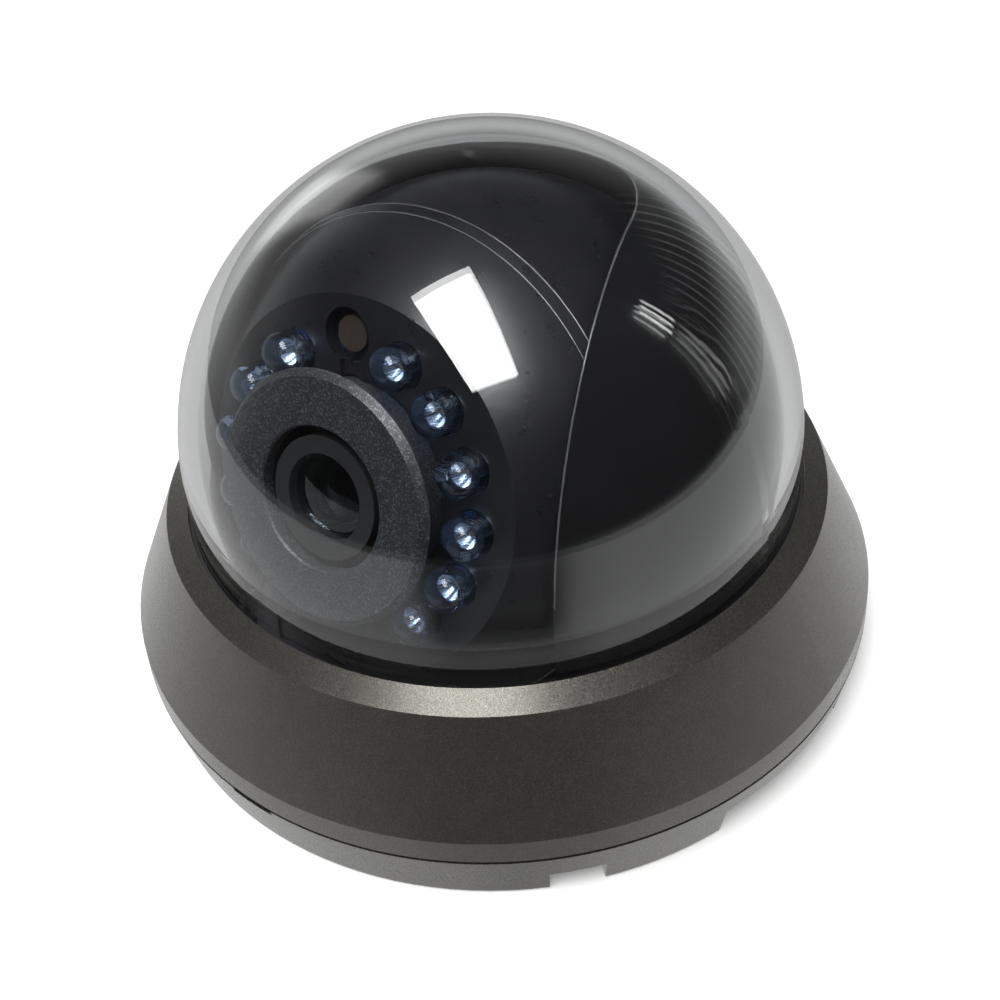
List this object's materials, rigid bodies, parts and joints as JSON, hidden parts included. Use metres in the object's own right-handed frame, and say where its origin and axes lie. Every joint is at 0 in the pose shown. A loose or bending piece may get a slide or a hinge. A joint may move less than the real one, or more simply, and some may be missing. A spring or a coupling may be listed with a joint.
{
  "type": "dome cctv camera",
  "caption": "Indoor dome security camera: round base, lift-off cover with a clear dome, slotted dark liner, and a pan-tilt-rotate ball with a lens and infrared lamps.",
  "frame": {"origin": "centre of the mounting face, the flat underside of the base", "axes": "+Z to the top of the dome, the lens looks towards -Y at rest"},
  "size_m": [0.0944, 0.0944, 0.067],
  "materials": {
    "housing_paint": "fine metallic speckle, satin",
    "dome_clear": "clear polycarbonate",
    "liner_black": "gloss",
    "ball_black": "satin",
    "table_black": "fine texture",
    "rubber": "matt",
    "led_clear": "clear epoxy, faint blue",
    "lens_glass": "coated",
    "filter_glass": "polished",
    "lens_black": "satin",
    "screw_steel": "zinc plated",
    "lock_brass": "turned",
    "board_green": "solder resist",
    "chip_black": "moulded",
    "sensor_face": "polished",
    "photocell_face": "resin",
    "connector_cream": "moulded"
  },
  "bodies": {
    "base": {"base_plate": "housing_paint", "cable_grommet": "rubber", "cover_seal": "rubber", "friction_washer": "table_black", "clamp_ring": "table_black", "clamp_screws": "screw_steel"},
    "cover": {"cover_ring": "housing_paint", "dome_bubble": "dome_clear", "dome_gasket": "rubber", "dome_retainer": "table_black", "retainer_screws": "screw_steel"},
    "pan_table": {"turntable": "table_black", "yoke_left": "table_black", "yoke_right": "table_black", "yoke_screws": "screw_steel", "pivot_screws": "screw_steel", "pivot_washers": "screw_steel", "liner": "liner_black", "liner_screws": "screw_steel"},
    "tilt_ball": {"ball_carrier": "ball_black", "shell_clip": "screw_steel"},
    "face": {"front_shell": "ball_black", "led_board": "board_green", "ir_leds": "led_clear", "photocell": "photocell_face", "shell_screws": "screw_steel", "lens_plate": "housing_paint", "lens_holder": "lens_black", "lens_lock_ring": "lock_brass", "lens_barrel": "lens_black", "front_lens": "lens_glass", "ir_cut_filter": "filter_glass", "image_sensor": "sensor_face", "sensor_board": "board_green", "board_standoffs": "screw_steel", "main_board": "board_green", "processor_chip": "chip_black", "board_connector": "connector_cream", "board_screws": "screw_steel"}
  },
  "joints": [
    {"name": "cover_lift", "type": "slide", "parent": "base", "child": "cover", "axis": [0, 0, 1], "range_m": [0, 0.06]},
    {"name": "pan", "type": "hinge", "parent": "base", "child": "pan_table", "pos_m": [0, 0, 0.0295], "axis": [0, 0, 1], "range_deg": [-177.5, 177.5]},
    {"name": "tilt", "type": "hinge", "parent": "pan_table", "child": "tilt_ball", "pos_m": [0, 0, 0.0295], "axis": [-1, 0, 0], "range_deg": [-7, 70]},
    {"name": "rotate", "type": "hinge", "parent": "tilt_ball", "child": "face", "pos_m": [0, 0, 0.0295], "axis": [0, -0.9397, 0.342], "range_deg": [-90, 90]}
  ]
}
